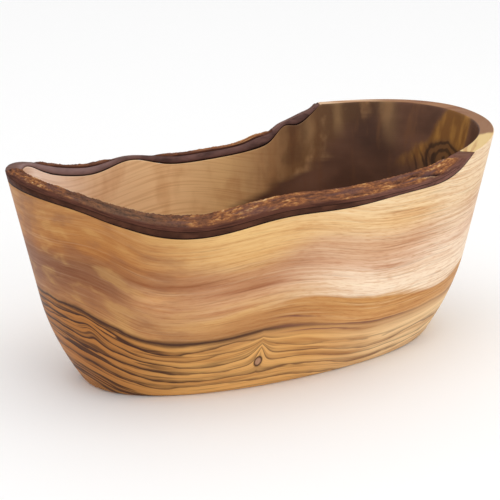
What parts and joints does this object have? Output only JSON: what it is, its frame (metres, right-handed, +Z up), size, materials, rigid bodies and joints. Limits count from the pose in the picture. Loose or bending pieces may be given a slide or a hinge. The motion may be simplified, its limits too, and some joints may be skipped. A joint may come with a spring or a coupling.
{
  "type": "wooden bowl",
  "caption": "Oval bowl hollowed lengthwise from half a log, with a flat base, flared walls and a natural bark rim that is sawn level at one end, for serving bread or fruit.",
  "frame": {"origin": "centre of the flat base face", "axes": "+X along the bowl to the end that is sawn level, +Y to the rear, +Z up out of the hollow"},
  "size_m": [0.2474, 0.1262, 0.1054],
  "materials": {
    "olive_wood": "smooth sanded and oiled",
    "inner_bark": "smooth sanded, matt",
    "outer_bark": "rough natural bark"
  },
  "bodies": {
    "root": {"wood_body": "olive_wood", "inner_bark": "inner_bark", "outer_bark_rear_middle": "outer_bark", "outer_bark_rear_left": "outer_bark", "outer_bark_left_end": "outer_bark", "outer_bark_front_left": "outer_bark", "outer_bark_front_middle": "outer_bark", "outer_bark_front_right": "outer_bark"}
  },
  "joints": []
}
